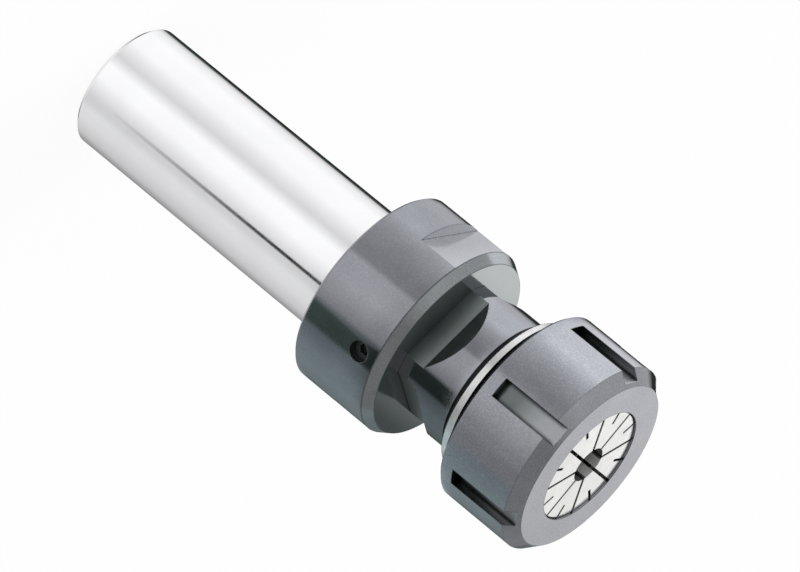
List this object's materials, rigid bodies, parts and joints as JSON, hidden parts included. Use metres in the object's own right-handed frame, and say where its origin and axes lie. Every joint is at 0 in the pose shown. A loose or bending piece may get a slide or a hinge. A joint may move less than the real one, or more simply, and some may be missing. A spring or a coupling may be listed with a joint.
{
  "type": "floating tapping chuck",
  "caption": "Straight shank tapping chuck: a sprung spindle floats in a round collar and holds taps in a slit collet under a slotted nut.",
  "frame": {"origin": "centre of the shank's rear end face, on the spindle axis, where the chuck stands", "axes": "+Z along the spindle axis from the shank to the collet; the picture was taken from the -Y side"},
  "size_m": [0.05, 0.05, 0.1481],
  "materials": {
    "ground_steel": "ground shank, black oxide collar",
    "black_oxide": "glossy black oxide",
    "collet_steel": "bright ground",
    "turned_steel": "turned",
    "spring_steel": "oiled spring steel",
    "seal_rubber": "smooth rubber"
  },
  "bodies": {
    "holder": {"shank_body": "ground_steel", "rear_plug": "black_oxide", "guide_cap": "black_oxide", "cap_seal": "seal_rubber", "cap_screws": "black_oxide", "spring_seat": "turned_steel", "seat_clip": "spring_steel", "compression_spring": "spring_steel", "tension_spring": "spring_steel"},
    "floating_spindle": {"spindle": "black_oxide", "stem_seal": "seal_rubber", "tail_rod": "turned_steel", "rod_pin": "turned_steel", "spring_cup": "turned_steel", "tail_nut": "turned_steel", "thrust_washer": "turned_steel", "tap_stop_screw": "black_oxide"},
    "tap_collet": {"collet": "collet_steel"},
    "clamping_nut": {"collet_nut": "black_oxide", "extractor_ring": "turned_steel"}
  },
  "joints": [
    {"name": "spindle_float", "type": "slide", "parent": "holder", "child": "floating_spindle", "axis": [0, 0, 1], "range_m": [-0.005, 0.01], "stiffness_N_per_m": 20000, "springref_m": 0.0003, "deforming": ["compression_spring", "tension_spring"]},
    {"name": "collet_draw", "type": "slide", "parent": "floating_spindle", "child": "tap_collet", "axis": [0, 0, 1], "range_m": [0, 0.003]},
    {"name": "nut_turn", "type": "hinge", "parent": "tap_collet", "child": "clamping_nut", "pos_m": [0, 0, 0.1365], "axis": [0, 0, 1], "range_deg": [0, 720]}
  ],
  "couplings": [
    {"joint": "nut_turn", "follows": "collet_draw", "rad_per_m": 4188.8}
  ]
}
